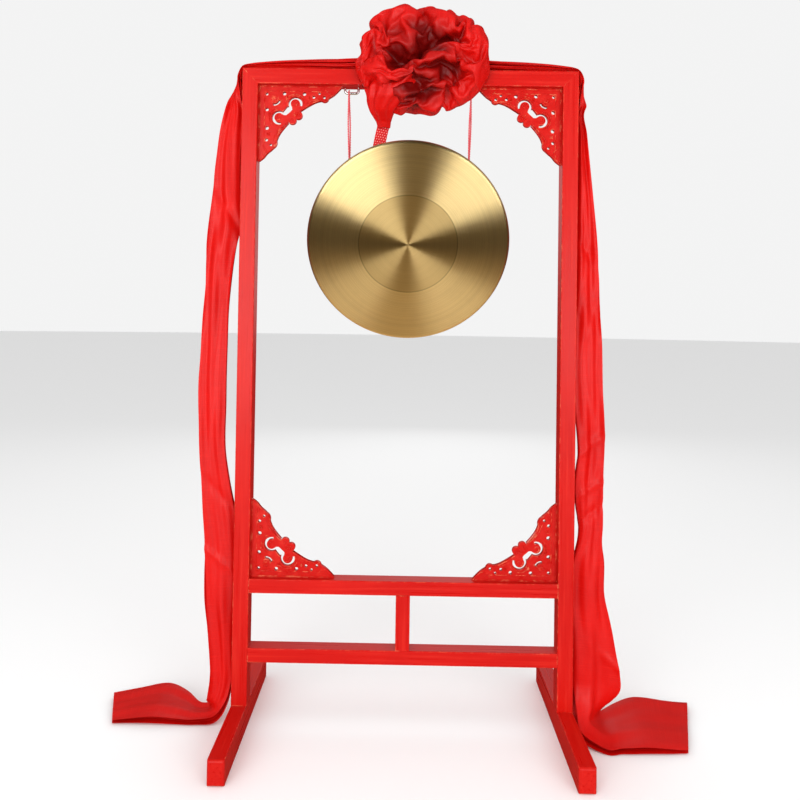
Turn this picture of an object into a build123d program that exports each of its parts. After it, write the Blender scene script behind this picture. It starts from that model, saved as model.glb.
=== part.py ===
"""Tam tam gong: a brass gong on two looped cords, hung in a carved red lacquered stand with a silk sash.

Millimetres. +Z is up, -Y is the face that the player strikes, and the origin is on the floor below the
middle of the stand. The gong hangs at rest: its centre of mass is straight below the rim holes, and both are
straight below the hooks.
"""

import os
from math import asin, cos, pi, radians, sin, sqrt, tan

from build123d import *

# Stand
FRAME_W = 600.0
FRAME_H = 1170.0
POST_W = 28.0
POST_D = 32.0
TENON_INSET = 6.0
FOOT_H = 41.0
FOOT_FRONT = 180.0
FOOT_BACK = 186.0
FOOT_TENON = 22.0
RAIL_H = 25.0
RAIL_TENON = 12.0
PANEL_RAIL_TOP = 263.0
LOWER_RAIL_TOP = 142.0
STRUT_W = 25.0
STRUT_TENON = 8.0
EDGE_ROUND = 1.5
SLACK = 0.05
BORE_EXTRA = 1.0

# Fixings
DOWEL_R = 4.0
DOWEL_L = 22.0
SCREW_R = 2.5
SCREW_HEAD_R = 4.8
SCREW_L = 48.0
SCREW_SUNK = 0.3
SCREW_POINT = 4.0
SCREW_TIP_R = 0.4
PIN_R = 1.5
PIN_L = 16.0
PIN_AT = 60.0

# Carved corner brackets, drawn from the stand's inside corner: u along the rail, v along the post.
# The free edge runs from the tip on the rail to the tip on the post.
BRACKET_U = 150.0
BRACKET_V = 138.0
BRACKET_T = 8.0
RAIL_TIP = ((136.0, 16.0), (126.0, 22.0))
RAIL_CURL = ((126.0, 22.0), (120.0, 29.0), (112.0, 26.0))
RAIL_SAG = ((112.0, 26.0), (95.0, 32.0), (74.0, 46.0))
RAIL_LOBE = ((74.0, 46.0), (78.0, 57.0), (68.0, 60.0))
POST_LOBE = ((68.0, 60.0), (64.0, 69.0), (54.0, 65.0))
POST_SAG = ((54.0, 65.0), (40.0, 80.0), (33.0, 96.0))
POST_CURL = ((33.0, 96.0), (33.0, 108.0), (27.0, 114.0))
POST_TIP = ((27.0, 114.0), (16.0, 123.0))
SCROLLS = (((66.0, 33.0), 10.5, 130, 250), ((37.0, 58.0), 10.5, -42, -245), ((27.0, 23.0), 11.5, 20, 75))
SCROLL_SLOT = 4.2
EYE = ((61.0, 42.5), (57.5, 38.0), (51.5, 37.0), (46.5, 43.0),
       (42.0, 48.5), (45.0, 53.5), (50.0, 53.5), (58.5, 46.0))
PIERCINGS = ((14.5, 15.5, 2.6), (46.0, 14.5, 3.2), (15.0, 43.5, 3.2), (82.0, 15.0, 3.2), (15.5, 77.0, 3.4),
             (99.0, 20.5, 2.7), (109.0, 14.0, 2.2), (118.0, 21.0, 2.5), (15.0, 98.5, 2.8), (23.0, 107.5, 2.3))

# Gong
GONG_R = 180.0
GONG_DEPTH = 60.0
GONG_DOME = 9.0
BOSS_R = 88.0
BOSS_EDGE_DROP = 1.0
GONG_EDGE = 6.5
RIM_TAPER = 12.0
FACE_T = 1.8
RIM_HOLE_R = 4.75
RIM_HOLE_SETBACK = 6.0
RIM_HOLE_L = 14.4
GONG_TILT = 19.3
GONG_HANG_Z = 999.0

# Hooks, cords and knots
HOOK_R = 2.25
HOOK_IN = 93.0
HOOK_OUT = 117.0
HOOK_BEND = 5.0
HOOK_Z = 1130.0
HOOK_TIP_GAP = 3.5
HOOK_SHANK = 16.0
CORD_R = 1.5
CORD_TOP_X = 110.0
CORD_HOLE_X = 107.0
CORD_SPREAD = 2.2
CORD_APART = 0.15
CORD_BEND_SHARE = 0.45
KNOT_R = 5.0
KNOT_DROP = 8.4
KNOT_FLAT = 2.5

# Silk rosette, its binding and its woven tail
ROSETTE_X = 22.0
ROSETTE_Y = -20.0
ROSETTE_AT = (ROSETTE_X, ROSETTE_Y, 1190.0)
ROSETTE_SIZE = (122.0, 75.0, 100.0)
PUFF_AT = (4.0, -24.0, 1142.0)
PUFF_SIZE = (86.0, 62.0, 62.0)
TIE_T = 2.0
TIE_W = 14.0
TAIL_W = 22.0
TAIL_T = 1.6
TAIL_Y = 9.0
TAIL_ROUTE = ((-38.0, 1112.0), (-57.0, 1028.0), (-61.0, 930.0))
TAIL_BEND = 250.0

# Sash: the fall's two edges are drawn from the top down as (x, z), the tail on the floor as (x, y)
SASH_H = 20.0
SASH_D = 30.0
SASH_GAP = 0.4
SASH_CREST_X = 288.0
SASH_START = {"left": -104.0, "right": 148.0}
SASH_FALL_Y = 11.0
SASH_FALL_D = 34.0
SASH_TAIL_H = 14.0
SASH_OUTER = {
    "left": ((-316.0, 1152.0), (-343.0, 1079.0), (-362.0, 934.0), (-376.0, 700.0), (-371.0, 480.0),
             (-361.0, 325.0), (-357.0, 180.0), (-350.0, 14.0)),
    "right": ((308.0, 1152.0), (317.0, 1070.0), (336.0, 940.0), (356.0, 675.0), (361.0, 480.0),
              (360.0, 338.0), (368.0, 200.0), (386.0, 14.0)),
}
SASH_INNER = {
    "left": ((-301.0, 1100.0), (-304.0, 900.0), (-322.0, 700.0), (-325.0, 520.0), (-310.0, 400.0),
             (-303.0, 250.0), (-303.0, 14.0)),
    "right": ((301.0, 1100.0), (302.0, 900.0), (303.0, 700.0), (304.0, 520.0), (303.0, 400.0),
              (303.0, 250.0), (303.0, 14.0)),
}
SASH_TAIL = {
    "left": ((-303.0, -6.0), (-420.0, -8.0), (-512.0, -9.0), (-546.0, 86.0), (-430.0, 98.0), (-303.0, 92.0)),
    "right": ((303.0, -70.0), (400.0, -72.0), (484.0, -67.0), (546.0, 100.0), (420.0, 104.0), (303.0, 92.0)),
}

RAIL_Z = FRAME_H - POST_W
INNER_X = FRAME_W / 2 - POST_W
RIM_HOLE_DOWN = GONG_DEPTH - RIM_HOLE_SETBACK
RIM_HOLE_OUT = GONG_R - FACE_T / 2 - RIM_HOLE_DOWN * tan(radians(RIM_TAPER))


def rounded_bar(length, height, depth, centre, along):
    """A square bar with its four long edges rounded."""
    size = {Axis.X: (length, depth, height), Axis.Y: (height, length, depth), Axis.Z: (height, depth, length)}
    with BuildPart(Plane(centre)) as bar:
        Box(*size[along])
        fillet(bar.edges().filter_by(along), EDGE_ROUND)
    return bar


def mitre_plane(side):
    """The sloping face where a post meets the top rail, looking from the post into the rail."""
    middle = (side * (FRAME_W / 2 - POST_W / 2), 0, FRAME_H - POST_W / 2)
    return Plane(origin=middle, x_dir=(0, 1, 0), z_dir=(-side, 0, 1))


def bracket_corners():
    """The four inside corners, each as a plane with x along the rail and y along the post."""
    corners = {}
    for side, hand in ((-1, "left"), (1, "right")):
        corners["top_" + hand] = Plane(
            origin=(side * INNER_X, 0, RAIL_Z), x_dir=(-side, 0, 0), z_dir=(0, -side, 0))
        corners["bottom_" + hand] = Plane(
            origin=(side * INNER_X, 0, PANEL_RAIL_TOP), x_dir=(-side, 0, 0), z_dir=(0, side, 0))
    return corners


def pin_planes(corner):
    """Where the two pins of a bracket stand: one runs into the rail, one into the post."""
    into_rail = Plane(origin=corner.from_local_coords((PIN_AT, 0, 0)), z_dir=-corner.y_dir)
    into_post = Plane(origin=corner.from_local_coords((0, PIN_AT, 0)), z_dir=-corner.x_dir)
    return into_rail, into_post


def bore(plane, radius, length):
    """Cuts a round hole, centred on the plane, out of the part being built."""
    with Locations(plane):
        Cylinder(radius, length, mode=Mode.SUBTRACT)


CORNERS = bracket_corners()
SIDES = ((-1, "left"), (1, "right"))


def save(builder, name):
    builder.part.label = name
    export_step(builder.part, f"parts/{name}.step")


# ---------------------------------------------------------------- stand
def post(side):
    outer = side * FRAME_W / 2
    inner = side * INNER_X
    with BuildPart() as upright:
        with BuildSketch(Plane.XZ):
            with BuildLine():
                Polyline((outer, FOOT_H), (inner, FOOT_H), (inner, RAIL_Z), (outer, FRAME_H), close=True)
            make_face()
        extrude(amount=POST_D / 2, both=True)
        fillet(upright.edges().filter_by(Axis.Z), EDGE_ROUND)
        with BuildSketch(Plane.XY.offset(FOOT_H)):
            with Locations((side * (FRAME_W - POST_W) / 2, 0)):
                Rectangle(POST_W - 2 * TENON_INSET, POST_D - 2 * TENON_INSET)
        extrude(amount=-FOOT_TENON)
        for top in (PANEL_RAIL_TOP, LOWER_RAIL_TOP):
            with Locations((inner + side * RAIL_TENON / 2, 0, top - RAIL_H / 2)):
                Box(RAIL_TENON + 2 * SLACK, POST_D - 2 * TENON_INSET, RAIL_H - 2 * TENON_INSET,
                    mode=Mode.SUBTRACT)
        bore(mitre_plane(side), DOWEL_R, DOWEL_L + BORE_EXTRA)
        for name, corner in CORNERS.items():
            if name.endswith("left") == (side < 0):
                bore(pin_planes(corner)[1], PIN_R, PIN_L + BORE_EXTRA)
        with Locations((side * (FRAME_W - POST_W) / 2, 0, SCREW_L / 2 + BORE_EXTRA)):
            Cylinder(SCREW_R, SCREW_L, mode=Mode.SUBTRACT)
    return upright


def top_rail():
    with BuildPart() as rail:
        with BuildSketch(Plane.XZ):
            with BuildLine():
                Polyline((-FRAME_W / 2, FRAME_H), (FRAME_W / 2, FRAME_H), (INNER_X, RAIL_Z),
                         (-INNER_X, RAIL_Z), close=True)
            make_face()
        extrude(amount=POST_D / 2, both=True)
        fillet(rail.edges().filter_by(Axis.X), EDGE_ROUND)
        for side, hand in SIDES:
            bore(mitre_plane(side), DOWEL_R, DOWEL_L + BORE_EXTRA)
            bore(pin_planes(CORNERS["top_" + hand])[0], PIN_R, PIN_L + BORE_EXTRA)
            with Locations((side * HOOK_IN, 0, RAIL_Z)):
                Cylinder(HOOK_R, 2 * HOOK_SHANK, mode=Mode.SUBTRACT)
    return rail


def cross_rail(top, strut_above, strut_below):
    """A rail between the posts, with a stub tenon at each end and a mortise for the centre strut."""
    middle = top - RAIL_H / 2
    with BuildPart() as rail:
        add(rounded_bar(2 * INNER_X, RAIL_H, POST_D, (0, 0, middle), Axis.X).part)
        with Locations((0, 0, middle)):
            Box(2 * (INNER_X + RAIL_TENON), POST_D - 2 * TENON_INSET - SLACK,
                RAIL_H - 2 * TENON_INSET - SLACK)
        for wanted, z in ((strut_above, top), (strut_below, top - RAIL_H)):
            if wanted:
                with Locations((0, 0, z)):
                    Box(STRUT_W - 2 * TENON_INSET, POST_D - 2 * TENON_INSET, 2 * STRUT_TENON + 2 * SLACK,
                        mode=Mode.SUBTRACT)
        if strut_below:
            for hand in ("left", "right"):
                bore(pin_planes(CORNERS["bottom_" + hand])[0], PIN_R, PIN_L + BORE_EXTRA)
    return rail


def centre_strut():
    height = PANEL_RAIL_TOP - RAIL_H - LOWER_RAIL_TOP
    middle = LOWER_RAIL_TOP + height / 2
    with BuildPart() as strut:
        add(rounded_bar(height, STRUT_W, POST_D, (0, 0, middle), Axis.Z).part)
        with Locations((0, 0, middle)):
            Box(STRUT_W - 2 * TENON_INSET - SLACK, POST_D - 2 * TENON_INSET - SLACK, height + 2 * STRUT_TENON)
    return strut


def foot(side):
    length = FOOT_FRONT + FOOT_BACK
    x = side * (FRAME_W - POST_W) / 2
    with BuildPart() as block:
        with Locations((x, (FOOT_BACK - FOOT_FRONT) / 2, FOOT_H / 2)):
            Box(POST_W, length, FOOT_H)
        fillet(block.edges().filter_by(Axis.Y), EDGE_ROUND)
        fillet(block.edges().filter_by(Axis.X).group_by(Axis.Z)[0], 3 * EDGE_ROUND)
        with Locations((x, 0, FOOT_H)):
            Box(POST_W - 2 * TENON_INSET + SLACK, POST_D - 2 * TENON_INSET + SLACK, 2 * (FOOT_TENON + SLACK),
                mode=Mode.SUBTRACT)
        with Locations(Plane((x, 0, 0), z_dir=(0, 0, -1))):
            CounterSinkHole(SCREW_R + SLACK, SCREW_HEAD_R + SLACK, depth=FOOT_H)
    return block


def foot_screws():
    """A countersunk screw up through each foot into the post's tenon."""
    head = SCREW_HEAD_R - SCREW_R
    with BuildPart() as screws:
        for side, _ in SIDES:
            x = side * (FRAME_W - POST_W) / 2
            shank = x + SCREW_R - SLACK
            with BuildSketch(Plane.XZ):
                with BuildLine():
                    Polyline((x, SCREW_SUNK), (x + SCREW_HEAD_R - SCREW_SUNK, SCREW_SUNK),
                             (shank, head + SCREW_SUNK), (shank, SCREW_L - SCREW_POINT),
                             (x + SCREW_TIP_R, SCREW_L), (x, SCREW_L), close=True)
                make_face()
            revolve(axis=Axis((x, 0, 0), (0, 0, 1)))
    return screws


def mitre_dowels():
    with BuildPart() as dowels:
        for side, _ in SIDES:
            with Locations(mitre_plane(side)):
                Cylinder(DOWEL_R - SLACK, DOWEL_L)
    return dowels


def bracket_pins():
    with BuildPart() as pins:
        for corner in CORNERS.values():
            for plane in pin_planes(corner):
                with Locations(plane):
                    Cylinder(PIN_R - SLACK, PIN_L)
    return pins


# ---------------------------------------------------------------- carved brackets
def bracket(corner):
    """A pierced board: an L-shaped border on the rail and the post, a scalloped free edge and two volutes."""
    with BuildPart() as board:
        with BuildSketch(corner):
            with BuildLine():
                Polyline((0, BRACKET_V), (0, 0), (BRACKET_U, 0), *RAIL_TIP)
                ThreePointArc(*RAIL_CURL)
                Spline(*RAIL_SAG)
                ThreePointArc(*RAIL_LOBE)
                ThreePointArc(*POST_LOBE)
                Spline(*POST_SAG)
                ThreePointArc(*POST_CURL)
                Polyline(*POST_TIP, (0, BRACKET_V))
            make_face()
            for centre, radius, start, turn in SCROLLS:
                with BuildLine():
                    outer = CenterArc(centre, radius + SCROLL_SLOT / 2, start, turn)
                    inner = CenterArc(centre, radius - SCROLL_SLOT / 2, start, turn)
                    Line(outer @ 0, inner @ 0)
                    Line(outer @ 1, inner @ 1)
                make_face(mode=Mode.SUBTRACT)
            with BuildLine():
                Polyline(*EYE, close=True)
            make_face(mode=Mode.SUBTRACT)
            for u, v, radius in PIERCINGS:
                with Locations((u, v)):
                    Circle(radius, mode=Mode.SUBTRACT)
        extrude(amount=BRACKET_T / 2, both=True)
        for plane in pin_planes(corner):
            bore(plane, PIN_R, PIN_L + BORE_EXTRA)
    return board


# ---------------------------------------------------------------- hooks, cords and knots
def hook(side):
    """A square-bend screw hook: a shank up into the rail, a level arm outwards and a short upturned tip."""
    shank_end = RAIL_Z + HOOK_SHANK - BORE_EXTRA
    with BuildPart() as wire:
        with BuildLine(Plane.XZ):
            FilletPolyline((side * HOOK_IN, shank_end), (side * HOOK_IN, HOOK_Z), (side * HOOK_OUT, HOOK_Z),
                           (side * HOOK_OUT, RAIL_Z - HOOK_TIP_GAP), radius=HOOK_BEND)
        with BuildSketch(Plane((side * HOOK_IN, 0, shank_end), z_dir=(0, 0, -1))):
            Circle(HOOK_R - SLACK)
        sweep()
    return wire


def cord_route(side):
    """Up from the knot through the rim hole, round the hook's arm and back down to the knot."""
    low_x = side * CORD_HOLE_X
    top_x = side * CORD_TOP_X
    mid_x = (low_x + top_x) / 2
    wrap = HOOK_R + CORD_R + CORD_APART
    low_y = CORD_R + CORD_APART
    low_z = GONG_HANG_Z - KNOT_DROP + KNOT_FLAT
    mid_z = (GONG_HANG_Z + HOOK_Z) / 2
    top_z = HOOK_Z + wrap
    front = [(low_x, -low_y, low_z), (mid_x - CORD_SPREAD, -low_y, mid_z), (top_x, -wrap, top_z)]
    back = [(top_x, wrap, top_z), (mid_x + CORD_SPREAD, low_y, mid_z), (low_x, low_y, low_z)]
    return [Vector(point) for point in front + back], [slack_bend(front), wrap, wrap, slack_bend(back)]


def slack_bend(run):
    """The largest arc that the middle one of three points of a route has room for."""
    first, middle, last = (Vector(point) for point in run)
    turn = (middle - first).get_angle(last - middle)
    shorter = min((middle - first).length, (last - middle).length)
    return CORD_BEND_SHARE * shorter / tan(radians(turn / 2))


def cord(side):
    points, radii = cord_route(side)
    with BuildPart() as loop:
        with BuildLine() as line:
            FilletPolyline(*points, radius=radii)
        with BuildSketch(Plane(points[0], z_dir=line.wire().tangent_at(0))):
            Circle(CORD_R)
        sweep()
    length = line.wire().length
    share = loop.part.volume / (pi * CORD_R ** 2 * length)
    bends = ", ".join(f"{radius:.1f}" for radius in radii)
    print(f"cord: {length:.1f} mm long, radii {bends}, volume share {share:.4f}")
    return loop


def knot(side):
    """The stopper knot inside the rim that both ends of the cord are tied in."""
    centre = (side * CORD_HOLE_X, 0, GONG_HANG_Z - KNOT_DROP)
    with BuildPart(Plane(centre)) as ball:
        Sphere(KNOT_R)
        with Locations((0, 0, KNOT_FLAT + KNOT_R)):
            Box(2 * KNOT_R, 2 * KNOT_R, 2 * KNOT_R, mode=Mode.SUBTRACT)
    return ball


# ---------------------------------------------------------------- gong
def gong_plane():
    """The gong's own frame: its origin is the centre of the face's edge circle, and +Z points out of it."""
    tilt = radians(GONG_TILT)
    out = Vector(0, -cos(tilt), -sin(tilt))
    up = Vector(0, -sin(tilt), cos(tilt))
    height = sqrt(RIM_HOLE_OUT ** 2 - CORD_HOLE_X ** 2)
    centre = Vector(0, 0, GONG_HANG_Z) - up * height + out * RIM_HOLE_DOWN
    return Plane(origin=centre, x_dir=(1, 0, 0), z_dir=out)


def gong_half(wall, below):
    """Half of the section of the gong's outer surface, moved in by wall and carried below the back edge."""
    radius = GONG_R - wall
    depth = GONG_DEPTH + below
    back_r = radius - depth * tan(radians(RIM_TAPER))
    with BuildSketch(Plane.XZ, mode=Mode.PRIVATE) as half:
        with BuildLine():
            shoulder = (BOSS_R, GONG_DOME - BOSS_EDGE_DROP - wall)
            slope = (1, -2 * BOSS_EDGE_DROP / BOSS_R)
            boss = Spline((0, GONG_DOME - wall), shoulder, tangents=((1, 0), slope))
            Polyline(boss @ 1, (radius, -wall), (back_r, -depth), (0, -depth), boss @ 0)
        make_face()
        fillet(half.vertices().sort_by(Axis.X)[-1], GONG_EDGE - wall)
    return half.sketch


def gong():
    place = gong_plane()
    with BuildPart() as shell:
        revolve(gong_half(0, 0), axis=Axis.Z)
        revolve(gong_half(FACE_T, BORE_EXTRA), axis=Axis.Z, mode=Mode.SUBTRACT)
        for side, _ in SIDES:
            around = asin(side * CORD_HOLE_X / RIM_HOLE_OUT)
            out = Vector(sin(around), cos(around), 0)
            with Locations(Plane(out * RIM_HOLE_OUT - Vector(0, 0, RIM_HOLE_DOWN), z_dir=out)):
                Cylinder(RIM_HOLE_R, RIM_HOLE_L, mode=Mode.SUBTRACT)
    with BuildPart() as hung:
        add(place.from_local_coords(shell.part))
    return hung


# ---------------------------------------------------------------- rosette, binding and woven tail
def egg(size):
    """A ball stretched to the three half-widths given."""
    with BuildPart() as ball:
        Sphere(1)
        scale(by=size)
    return ball.part


def rosette():
    """A ball of gathered silk over the rail, with a narrower puff below it and a way through for the rail."""
    gap = TIE_T + 2 * SASH_GAP
    with BuildPart() as flower:
        with Locations(ROSETTE_AT):
            add(egg(ROSETTE_SIZE))
        with Locations((ROSETTE_X, ROSETTE_Y, RAIL_Z - ROSETTE_SIZE[2])):
            Box(3 * ROSETTE_SIZE[0], 3 * ROSETTE_SIZE[1], 2 * ROSETTE_SIZE[2], mode=Mode.SUBTRACT)
        with Locations(PUFF_AT):
            add(egg(PUFF_SIZE))
        with Locations((ROSETTE_X, 0, RAIL_Z + POST_W / 2)):
            Box(3 * ROSETTE_SIZE[0], POST_D + 2 * gap, POST_W + 2 * gap, mode=Mode.SUBTRACT)
    return flower


def rosette_tie():
    """The band that binds the rosette to the rail, hidden inside it."""
    with BuildPart(Plane((ROSETTE_X, 0, RAIL_Z + POST_W / 2))) as tie:
        Box(TIE_W, POST_D + 2 * TIE_T + SASH_GAP, POST_W + 2 * TIE_T + SASH_GAP)
        Box(TIE_W, POST_D + SASH_GAP, POST_W + SASH_GAP, mode=Mode.SUBTRACT)
    return tie


def tie_tail():
    """A woven band sewn into the rosette's puff, hanging down behind the gong's rim."""
    with BuildPart() as band:
        with BuildSketch(Plane.XZ.offset(-TAIL_Y)):
            with BuildLine():
                FilletPolyline(*TAIL_ROUTE, radius=TAIL_BEND)
            trace(line_width=TAIL_W)
        extrude(amount=-TAIL_T)
    return band


# ---------------------------------------------------------------- sash
def sash(side, hand):
    """Gathered silk: a run along the top rail, a fall beside the post and a tail spread on the floor."""
    run_end = SASH_START[hand]
    corner = side * FRAME_W / 2
    with BuildPart() as silk:
        with Locations(((run_end + corner) / 2, 0, FRAME_H + SASH_GAP + SASH_H / 2)):
            Box(abs(corner - run_end), SASH_D, SASH_H)
        fillet(silk.edges().filter_by(Axis.X).group_by(Axis.Z)[-1], SASH_H / 3)
        with BuildSketch(Plane.XZ.offset(-SASH_FALL_Y)):
            with BuildLine():
                Polyline((side * SASH_CREST_X, FRAME_H + SASH_H),
                         (corner - side * SASH_H, FRAME_H + SASH_GAP),
                         (corner + side * SASH_GAP, FRAME_H + SASH_GAP))
                Spline((corner + side * SASH_GAP, FRAME_H + SASH_GAP), *SASH_INNER[hand])
                Line(SASH_INNER[hand][-1], SASH_OUTER[hand][-1])
                Spline(*reversed(SASH_OUTER[hand]), (side * SASH_CREST_X, FRAME_H + SASH_H))
            make_face()
        extrude(amount=SASH_FALL_D / 2, both=True)
        with BuildSketch() as spread:
            with BuildLine():
                Polyline(*SASH_TAIL[hand], close=True)
            make_face()
            fillet(spread.vertices(), SASH_TAIL_H / 2)
        extrude(amount=SASH_TAIL_H)
    return silk


# ---------------------------------------------------------------- the whole object
def main():
    os.makedirs("parts", exist_ok=True)
    save(top_rail(), "top_rail")
    save(cross_rail(PANEL_RAIL_TOP, strut_above=False, strut_below=True), "panel_rail")
    save(cross_rail(LOWER_RAIL_TOP, strut_above=True, strut_below=False), "lower_rail")
    save(centre_strut(), "centre_strut")
    save(foot_screws(), "foot_screws")
    save(mitre_dowels(), "mitre_dowels")
    save(bracket_pins(), "bracket_pins")
    save(gong(), "gong")
    save(rosette(), "rosette")
    save(rosette_tie(), "rosette_tie")
    save(tie_tail(), "tie_tail")
    for name, corner in CORNERS.items():
        save(bracket(corner), "bracket_" + name)
    for side, hand in SIDES:
        save(post(side), hand + "_post")
        save(foot(side), hand + "_foot")
        save(hook(side), hand + "_hook")
        save(cord(side), hand + "_cord")
        save(knot(side), hand + "_knot")
        save(sash(side, hand), "sash_" + hand)


main()
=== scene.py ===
"""The looks of a tam tam gong that hangs in a carved red lacquered stand with a silk rosette and sash.

Metres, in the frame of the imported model: +Z is up and -Y is the face that the player strikes.
"""

from math import asin, atan2, cos, pi, radians, sin, sqrt, tan

import bpy
import numpy as np
from mathutils import Matrix, Quaternion, Vector, noise


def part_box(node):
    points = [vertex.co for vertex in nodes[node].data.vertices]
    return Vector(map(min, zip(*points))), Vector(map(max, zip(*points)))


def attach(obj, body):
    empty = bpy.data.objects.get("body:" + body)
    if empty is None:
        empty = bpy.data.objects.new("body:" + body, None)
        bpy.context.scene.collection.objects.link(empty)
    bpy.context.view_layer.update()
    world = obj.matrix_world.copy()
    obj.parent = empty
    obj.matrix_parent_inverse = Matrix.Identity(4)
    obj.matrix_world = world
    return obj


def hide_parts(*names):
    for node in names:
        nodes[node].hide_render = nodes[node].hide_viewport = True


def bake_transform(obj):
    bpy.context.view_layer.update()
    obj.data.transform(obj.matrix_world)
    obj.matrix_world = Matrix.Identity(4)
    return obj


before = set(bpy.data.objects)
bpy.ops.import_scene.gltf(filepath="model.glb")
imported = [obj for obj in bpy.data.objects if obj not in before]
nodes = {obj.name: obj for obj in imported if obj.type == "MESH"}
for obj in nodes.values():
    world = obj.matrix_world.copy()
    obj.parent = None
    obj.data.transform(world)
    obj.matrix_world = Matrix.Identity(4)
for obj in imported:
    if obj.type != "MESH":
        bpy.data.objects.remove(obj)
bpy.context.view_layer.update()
scene = bpy.context.scene
SIDES = ((-1, "left"), (1, "right"))
MM = 0.001


# ---------------------------------------------------------------- camera, light and floor
CAMERA_AT = Vector((-0.0114, -1.3439, 0.7195))
CAMERA_YAW, CAMERA_PITCH, CAMERA_ROLL = -0.0100, 0.0190, 0.0148
CAMERA_LENS = 33.75
CAMERA_SHIFT = (0.0086, -0.1154)


def camera():
    """The photographer's place: level with the middle of the stand and about 1.3 m in front of it."""
    level_reach = cos(CAMERA_PITCH)
    ahead = Vector((sin(CAMERA_YAW) * level_reach, cos(CAMERA_YAW) * level_reach, sin(CAMERA_PITCH)))
    level = Vector((cos(CAMERA_YAW), -sin(CAMERA_YAW), 0))
    upright = level.cross(ahead)
    right = level * cos(CAMERA_ROLL) + upright * sin(CAMERA_ROLL)
    up = upright * cos(CAMERA_ROLL) - level * sin(CAMERA_ROLL)
    data = bpy.data.cameras.new("camera")
    data.lens = CAMERA_LENS
    data.shift_x, data.shift_y = CAMERA_SHIFT
    eye = bpy.data.objects.new("camera", data)
    turn = Matrix((right, up, -ahead)).transposed()
    eye.matrix_world = Matrix.Translation(CAMERA_AT) @ turn.to_4x4()
    scene.collection.objects.link(eye)
    scene.camera = eye


def softbox(name, at, towards, size, power, glossy=True):
    """A soft studio light. One that isn't glossy only fills, and makes no highlight."""
    data = bpy.data.lights.new(name, "AREA")
    data.shape = "RECTANGLE"
    data.size, data.size_y = size
    data.energy = power
    lamp = bpy.data.objects.new(name, data)
    lamp.location = at
    facing = (Vector(towards) - Vector(at)).to_track_quat("-Z", "Y")
    lamp.rotation_euler = (facing @ Quaternion((0, 0, 1), pi / 4)).to_euler()
    lamp.visible_glossy = glossy
    scene.collection.objects.link(lamp)


def studio():
    """A white room with two large softboxes behind the camera, a broad fill from above that makes no
    highlight, and a broad fill from behind.
    """
    target = (0, 0, 0.8)
    softbox("key_left", (-1.16, -2.45, 0.94), target, (1.6, 1.6), 37)
    softbox("key_right", (1.37, -2.33, 0.78), target, (1.4, 1.4), 26)
    softbox("fill_top", (0, -0.6, 3.2), target, (3.0, 3.0), 12, glossy=False)
    softbox("fill_back", (0, 3.2, 1.9), target, (2.5, 1.8), 10)
    world = bpy.data.worlds.new("white_room")
    scene.world = world
    world.use_nodes = True
    tree = world.node_tree
    room = tree.nodes["Background"]
    rays = tree.nodes.new("ShaderNodeLightPath")
    low_or_high = tree.nodes.new("ShaderNodeSeparateXYZ")
    tree.links.new(tree.nodes.new("ShaderNodeTexCoord").outputs["Generated"], low_or_high.inputs["Vector"])
    mirrored = tree.nodes.new("ShaderNodeValToRGB")
    below = tree.nodes.new("ShaderNodeMapRange")
    below.inputs["From Min"].default_value, below.inputs["From Max"].default_value = -0.50, -0.74
    tree.links.new(low_or_high.outputs["Z"], below.inputs["Value"])
    tree.links.new(below.outputs["Result"], mirrored.inputs["Fac"])
    mirrored.color_ramp.elements[0].color = (0.034, 0.029, 0.024, 1)
    mirrored.color_ramp.elements[1].color = (0.72, 0.53, 0.32, 1)

    def choose(ray, colour, other):
        """One colour for rays of that kind, and the other for the rest."""
        mix = tree.nodes.new("ShaderNodeMix")
        mix.data_type = "RGBA"
        tree.links.new(rays.outputs[ray], mix.inputs["Factor"])
        for socket, value in ((mix.inputs[6], other), (mix.inputs[7], colour)):
            if isinstance(value, bpy.types.NodeSocket):
                tree.links.new(value, socket)
            else:
                socket.default_value = value
        return mix.outputs[2]

    lit = choose("Is Glossy Ray", mirrored.outputs["Color"], (0.80, 0.80, 0.80, 1))
    tree.links.new(choose("Is Camera Ray", (0.90, 0.90, 0.90, 1), lit), room.inputs["Color"])
    scene.view_settings.view_transform = "Standard"


def floor():
    """A pale round studio floor."""
    radius, segments = 40.0, 96
    turns = [2 * pi * k / segments for k in range(segments)]
    ring = [(radius * cos(turn), radius * sin(turn), 0) for turn in turns]
    mesh = bpy.data.meshes.new("floor")
    mesh.from_pydata(ring, [], [list(range(segments))])
    ground = bpy.data.objects.new("floor", mesh)
    scene.collection.objects.link(ground)
    paper = Shader("floor_paper", Base_Color=(0.96, 0.96, 0.96, 1), Roughness=0.9)
    grain = paper.noise(scale=35, detail=4)
    paper.bump(grain, strength=0.05, distance=0.001)
    mesh.materials.append(paper.material)
    ground.visible_glossy = False


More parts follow.
